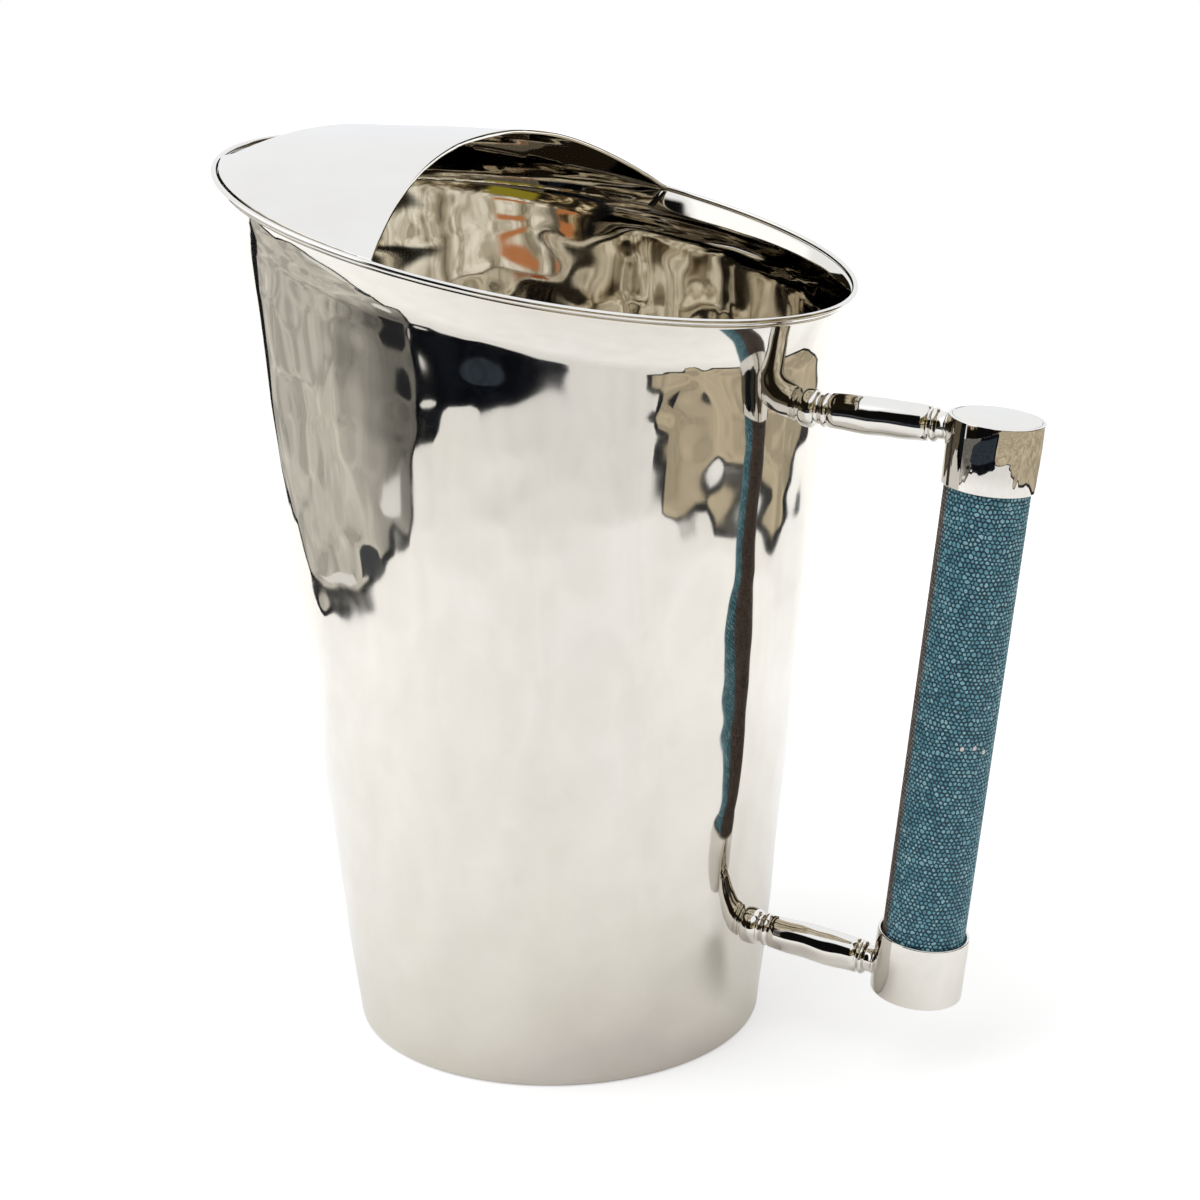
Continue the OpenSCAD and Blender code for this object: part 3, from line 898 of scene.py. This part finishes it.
def card(name, outline, height, colour, rag=14, pattern=0, fall=0):
    """A flat glowing card on the floor that only reflections see, darker towards the front by fall, and
    dimmer as painted shade in a reflection of a reflection
    """
    material = bpy.data.materials.new(name)
    material.use_nodes = True
    tree = material.node_tree
    tree.nodes.clear()
    place = add_node(tree, "ShaderNodeTexCoord").outputs["Object"]
    folds = add_node(tree, "ShaderNodeTexNoise", {"Vector": place, "Scale": 9, "Detail": 3,
                                                  "Distortion": 1.2})
    stops = [(0.3, 1 - pattern), (0.42, 1 - pattern / 2), (0.44, 1 - pattern), (0.46, 1 - pattern / 3),
             (0.53, 1), (0.55, 1 + pattern / 2), (0.57, 1), (0.7, 1 + pattern)]
    shade = ramp(tree, folds.outputs["Fac"],
                 [(at, tuple(c * share for c in colour)) for at, share in stops])
    front = add_node(tree, "ShaderNodeVectorMath", {0: place, 1: (0.35, -0.94, 0)},
                     operation="DOT_PRODUCT").outputs["Value"]
    strength = add_node(tree, "ShaderNodeMapRange", {"Value": front, "From Min": 0.1, "From Max": 0.3,
                                                     "To Min": 1.0, "To Max": 1 - fall}).outputs[0]
    # A card seen in a reflection of a reflection glows less: painted shade.
    depth_painted_shade = add_node(tree, "ShaderNodeMapRange", {"Value": beyond_depth(tree, 1.5), "To Min": 1.0,
                                                   "To Max": 0.25}).outputs[0]
    strength = add_node(tree, "ShaderNodeMath", {0: strength, 1: depth_painted_shade}, operation="MULTIPLY").outputs[0]
    glow = add_node(tree, "ShaderNodeEmission", {"Color": shade, "Strength": strength})
    add_node(tree, "ShaderNodeOutputMaterial", {"Surface": glow.outputs[0]})
    material.cycles.emission_sampling = "NONE"
    outline = ragged(outline, rag)
    bm = bmesh.new()
    bmesh.ops.create_circle(bm, cap_ends=True, segments=len(outline), radius=1)
    bm.verts.ensure_lookup_table()
    for vertex, (x, y) in zip(bm.verts, outline):
        vertex.co = (x, y, height)
    thing = stage_object(name, bm, material)
    thing.visible_camera = False
    thing.visible_diffuse = False
    thing.visible_shadow = False
    thing.visible_transmission = False
    return thing


FAR = 3900
card("card_left_edge", [(-FAR, 900), (-1000, 390), (-800, 350), (-600, 300), (-520, 292), (-480, 250),
                        (-457, 200), (-446, 130), (-422, 82), (-377, 47), (-342, 3), (-308, -66),
                        (-277, -132), (-254, -196), (-230, -250), (-216, -290), (-180, -302),
                        (-176, -440), (-186, -480), (-225, -520), (-900, -FAR), (-FAR, -FAR)],
     1, (0.01, 0.01, 0.012), rag=8)
card("card_left", [(-FAR, 700), (-1000, 270), (-800, 230), (-640, 225), (-520, 280), (-492, 245),
                   (-470, 200), (-456, 130), (-430, 76), (-384, 42), (-349, 0), (-315, -66),
                   (-284, -132), (-261, -196), (-237, -250), (-225, -296), (-188, -310),
                   (-186, -438), (-200, -480), (-240, -520), (-900, -FAR), (-FAR, -FAR)],
     2, (0.55, 0.53, 0.48), rag=8, pattern=0.35, fall=0.72)
card("card_front", [(-212, -500), (-190, -440), (-188, -416), (-120, -416), (-105, -440), (-92, -450),
                    (-20, -448), (5, -432), (20, -418), (60, -415), (150, -420), (190, -424),
                    (222, -414), (246, -399), (264, -396), (284, -398), (296, -404), (303, -422),
                    (308, -450), (330, -540),
                    (430, -770), (1200, -2320), (1700, -FAR), (-900, -FAR)],
     3, (0.006, 0.007, 0.01), rag=3, pattern=0.6)
card("card_front_far", [(-330, -600), (-100, -570), (100, -570), (292, -540), (352, -700),
                        (900, -2000), (-700, -2500), (-800, -1500)], 4,
     (0.03, 0.038, 0.05), rag=10, pattern=0.3)
card("card_right_edge", [(FAR, -FAR), (1690, -FAR), (1190, -2320), (420, -770), (320, -540), (310, -450),
                         (332, -416), (370, -372), (456, -292), (478, -228), (440, -217),
                         (440, -168), (424, -158), (410, -144), (410, -94), (400, -85), (379, -79),
                         (369, -65), (370, -46), (385, -33), (403, -28), (411, -16), (386, 2),
                         (384, 90), (388, 124), (360, 184), (318, 236), (270, 292), (242, 342),
                         (234, 400), (238, 440), (236, 522), (248, 610), (580, 1010), (FAR, 1800)],
     1, (0.02, 0.022, 0.026), rag=3)
card("card_right", [(FAR, -FAR), (1700, -FAR), (1200, -2320), (430, -770), (330, -540), (320, -452),
                    (345, -415), (378, -372), (468, -288), (490, -215), (453, -203),
                    (452, -172), (438, -150), (422, -138), (422, -85), (404, -80), (382, -75),
                    (373, -63), (374, -48), (388, -37), (404, -33), (418, -28), (422, -16),
                    (408, -4), (397, 8), (396, 84), (400, 122), (372, 190), (330, 244), (282, 298),
                    (254, 345), (246, 400), (250, 440), (248, 520), (262, 600), (600, 1000),
                    (FAR, 1750)],
     2, (0.5, 0.43, 0.31), rag=3, pattern=0.32)
card("card_dark_left", [(-217, -466), (-223, -446), (-262, -440), (-300, -428), (-322, -440),
                        (-312, -490), (-275, -516), (-236, -518)], 5, (0.02, 0.02, 0.022), rag=2)
card("card_gap_left", [(-214, -345), (-214, -322), (-229, -298), (-247, -290), (-266, -300),
                       (-266, -321), (-245, -337), (-222, -348)], 5, (0.8, 0.8, 0.78), rag=2)
card("card_dark_low", [(-230, -240), (-230, -229), (-252, -210), (-260, -197), (-265, -206),
                       (-263, -223), (-252, -240), (-240, -250)], 5, (0.06, 0.065, 0.07), rag=2)
card("card_gap_low", [(-267, -178), (-277, -140), (-300, -92), (-333, -42), (-346, -20), (-340, -50),
                      (-312, -119), (-281, -173)], 5, (0.8, 0.8, 0.78), rag=2)
card("card_gap_front", [(-176, -448), (-166, -440), (-142, -442), (-130, -450), (-132, -464),
                        (-150, -472), (-172, -470)], 5, (0.8, 0.8, 0.78), rag=2)
print("floor and cards laid")

# %% [markdown]
# ## The light
# The world lights the pitcher evenly and looks white to the camera. Reflections see a
# room instead: bright overhead and behind, dark and warm on the camera's side, with
# spots of orange, cream and green, because a silver mouth is full of such colours.
# Rays that have bounced three times or more see a dim gloom instead, painted shade for
# the inside of the mouth, with a lit warm belt and an orange ember in it.

# %% World
world = bpy.data.worlds.new("studio")
bpy.context.scene.world = world
world.use_nodes = True
tree = world.node_tree
tree.nodes.clear()
direction = add_node(tree, "ShaderNodeTexCoord").outputs["Generated"]
axes = add_node(tree, "ShaderNodeSeparateXYZ", {"Vector": direction}).outputs


def turned_from(azimuth):
    """How far a direction lies from an azimuth, as an angle round the horizon"""
    east = add_node(tree, "ShaderNodeVectorMath",
                    {0: direction, 1: (math.cos(azimuth), math.sin(azimuth), 0)},
                    operation="DOT_PRODUCT").outputs["Value"]
    north = add_node(tree, "ShaderNodeVectorMath",
                     {0: direction, 1: (-math.sin(azimuth), math.cos(azimuth), 0)},
                     operation="DOT_PRODUCT").outputs["Value"]
    angle = add_node(tree, "ShaderNodeMath", {0: north, 1: east}, operation="ARCTAN2").outputs[0]
    return add_node(tree, "ShaderNodeMath", {0: angle}, operation="ABSOLUTE").outputs[0]


def within(value, inner, outer):
    return add_node(tree, "ShaderNodeMapRange",
                    {"Value": value, "From Min": outer, "From Max": inner},
                    interpolation_type="SMOOTHSTEP").outputs[0]


def shifted(value, middle):
    """How far a value lies from a middle value"""
    offset = add_node(tree, "ShaderNodeMath", {0: value, 1: middle}, operation="SUBTRACT").outputs[0]
    return add_node(tree, "ShaderNodeMath", {0: offset}, operation="ABSOLUTE").outputs[0]


def times(*factors):
    total = factors[0]
    for factor in factors[1:]:
        total = add_node(tree, "ShaderNodeMath", {0: total, 1: factor}, operation="MULTIPLY").outputs[0]
    return total


def blend_colours(factor, first, second):
    mix = add_node(tree, "ShaderNodeMix", {"Factor": factor}, data_type="RGBA")
    for socket, colour in ((mix.inputs[6], first), (mix.inputs[7], second)):
        if isinstance(colour, bpy.types.NodeSocket):
            tree.links.new(colour, socket)
        else:
            socket.default_value = (*colour, 1)
    return mix.outputs[2]


height = axes["Z"]
dark_side = times(within(turned_from(math.radians(-24)), 1.62, 1.71), within(height, 0.56, 0.66))
blobs = add_node(tree, "ShaderNodeTexNoise", {"Vector": direction, "Scale": 9, "Detail": 4,
                                              "Roughness": 0.62, "Distortion": 0.8}).outputs["Fac"]
room = ramp(tree, blobs, [(0.0, (0.004, 0.004, 0.003)), (0.44, (0.012, 0.01, 0.006)),
                          (0.5, (0.07, 0.045, 0.02)), (0.55, (0.22, 0.16, 0.08)),
                          (0.6, (0.45, 0.36, 0.2)), (0.68, (0.9, 0.82, 0.62))])
warm = ramp(tree, blobs, [(0.36, (0.02, 0.015, 0.008)), (0.44, (0.08, 0.055, 0.025)),
                          (0.5, (0.2, 0.15, 0.085)), (0.57, (0.36, 0.3, 0.19)),
                          (0.66, (0.75, 0.68, 0.5))])
warm_side = times(within(turned_from(math.radians(35)), 1.0, 1.15), within(shifted(height, 0.38), 0.24, 0.3))
room = blend_colours(warm_side, room, warm)
pale = ramp(tree, blobs, [(0.3, (0.08, 0.06, 0.035)), (0.45, (0.4, 0.35, 0.25)),
                          (0.6, (0.85, 0.8, 0.68))])
low_band = times(within(turned_from(math.radians(-28)), 0.5, 0.75), within(height, 0.14, 0.22))
room = blend_colours(low_band, room, pale)
level = add_node(tree, "ShaderNodeMath", {0: height}, operation="ABSOLUTE").outputs[0]
orange = times(within(turned_from(math.radians(-71)), 0.05, 0.09),
               within(shifted(height, 0.11), 0.02, 0.035))
green = times(within(turned_from(math.radians(-47)), 0.14, 0.2),
              within(shifted(height, 0.28), 0.07, 0.1))
orange = either(tree, orange, times(within(turned_from(math.radians(-48)), 0.09, 0.16),
                                    within(shifted(height, 0.112), 0.01, 0.024)))
room = blend_colours(orange, room, (0.45, 0.17, 0.06))
room = blend_colours(green, room, (0.24, 0.2, 0.02))
room = blend_colours(within(level, 0.03, 0.05), room, (0.006, 0.005, 0.003))
horizon = times(within(turned_from(math.radians(-128)), 0.25, 0.3), within(level, 0.05, 0.08))
dark_side = either(tree, dark_side, horizon)
figure = times(within(turned_from(math.radians(-99)), 0.3, 0.36), within(height, 0.72, 0.78))
dark_side = either(tree, dark_side, figure)
room = blend_colours(figure, room, (0.004, 0.004, 0.004))
bright = ramp(tree, height, [(0.0, (0.9, 0.92, 0.95)), (0.35, (0.97, 0.99, 1.02)), (1, (1.0, 1.03, 1.08))])
window = times(within(turned_from(math.radians(-155)), 0.5, 0.65), within(shifted(height, 0.6), 0.25, 0.35))
bright = blend_colours(window, bright, (1.25, 1.27, 1.3))
room_colour = blend_colours(dark_side, bright, room)
# Painted shade: from the third bounce on, reflections see a gloom in place of the room.
warm_belt = times(within(turned_from(math.radians(35)), 1.0, 1.2), within(shifted(height, 0.23), 0.07, 0.12))
lit = blend_colours(within(shifted(height, 0.23), 0.03, 0.09), warm, pale)
painted_gloom = blend_colours(warm_belt, (0.012, 0.009, 0.005), lit)
painted_gloom = blend_colours(within(height, 0.58, 0.66), pale, painted_gloom)
ember = times(within(turned_from(math.radians(122)), 0.2, 0.35), within(shifted(height, 0.85), 0.08, 0.12))
painted_gloom = blend_colours(ember, painted_gloom, (0.3, 0.09, 0.03))
room_colour = blend_colours(beyond_depth(tree, 2.5), room_colour, painted_gloom)
paths = light_path(tree)
mirrored = either(tree, paths["Is Glossy Ray"], paths["Is Transmission Ray"])
plain = add_node(tree, "ShaderNodeBackground", {"Color": (1, 1, 1, 1), "Strength": 0.75})
seen_room = add_node(tree, "ShaderNodeBackground", {"Strength": 1})
tree.links.new(room_colour, seen_room.inputs["Color"])
white = add_node(tree, "ShaderNodeBackground", {"Color": (1, 1, 1, 1), "Strength": 1})
mirror_mix = add_node(tree, "ShaderNodeMixShader", {0: mirrored, 1: plain.outputs[0],
                                                    2: seen_room.outputs[0]})
camera_mix = add_node(tree, "ShaderNodeMixShader", {0: paths["Is Camera Ray"],
                                                    1: mirror_mix.outputs[0], 2: white.outputs[0]})
add_node(tree, "ShaderNodeOutputWorld", {"Surface": camera_mix.outputs[0]})
print("world set")


# %% Soft lamp
lamp_data = bpy.data.lights.new("soft_lamp", "SUN")
lamp_data.energy = 1
lamp_data.angle = math.radians(50)
lamp = bpy.data.objects.new("soft_lamp", lamp_data)
bpy.context.scene.collection.objects.link(lamp)
lamp.rotation_euler = Vector((0.5, 0.55, -1.3)).to_track_quat("-Z", "Y").to_euler()
lamp.visible_glossy = False
scene = bpy.context.scene
scene.view_settings.view_transform = "Standard"
print("lamps set")
